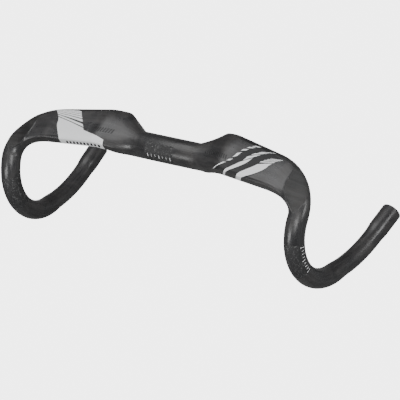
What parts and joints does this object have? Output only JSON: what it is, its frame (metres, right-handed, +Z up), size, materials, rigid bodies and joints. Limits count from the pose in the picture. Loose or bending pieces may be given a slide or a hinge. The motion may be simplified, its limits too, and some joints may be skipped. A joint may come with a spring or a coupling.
{
  "type": "drop handlebar",
  "caption": "Black carbon road drop handlebar with a round stem seat, wide flat aerofoil tops, silver printed graphics and short round drops",
  "frame": {"origin": "the middle of the round stem seat, on its axis", "axes": "+X runs along the stem seat to the rider's left, +Y points back to the rider, +Z is up"},
  "size_m": [0.4664, 0.1585, 0.1741],
  "materials": {
    "carbon": "satin clear coat over black unidirectional carbon",
    "grip_coat": "fine grit paint",
    "silver_print": "satin silver print",
    "rubber": "matt black rubber",
    "liner": "natural plastic tube"
  },
  "bodies": {
    "root": {"round_middle": "carbon", "right_wing_upper_skin": "carbon", "right_wing_lower_skin": "carbon", "right_shoulder": "carbon", "right_drop_tube": "carbon", "right_joint_sleeve": "carbon", "right_cable_liner": "liner", "right_stem_port_grommet": "rubber", "right_lever_port_grommet": "rubber", "right_lever_grip_coat": "grip_coat", "right_lever_scale": "silver_print", "left_wing_upper_skin": "carbon", "left_wing_lower_skin": "carbon", "left_shoulder": "carbon", "left_drop_tube": "carbon", "left_joint_sleeve": "carbon", "left_cable_liner": "liner", "left_stem_port_grommet": "rubber", "left_lever_port_grommet": "rubber", "left_lever_grip_coat": "grip_coat", "left_lever_scale": "silver_print", "stem_grip_coat": "grip_coat", "stem_scale": "silver_print", "right_wing_panel": "silver_print", "left_inner_stripe": "silver_print", "left_middle_stripe": "silver_print", "left_outer_stripe": "silver_print"}
  },
  "joints": []
}
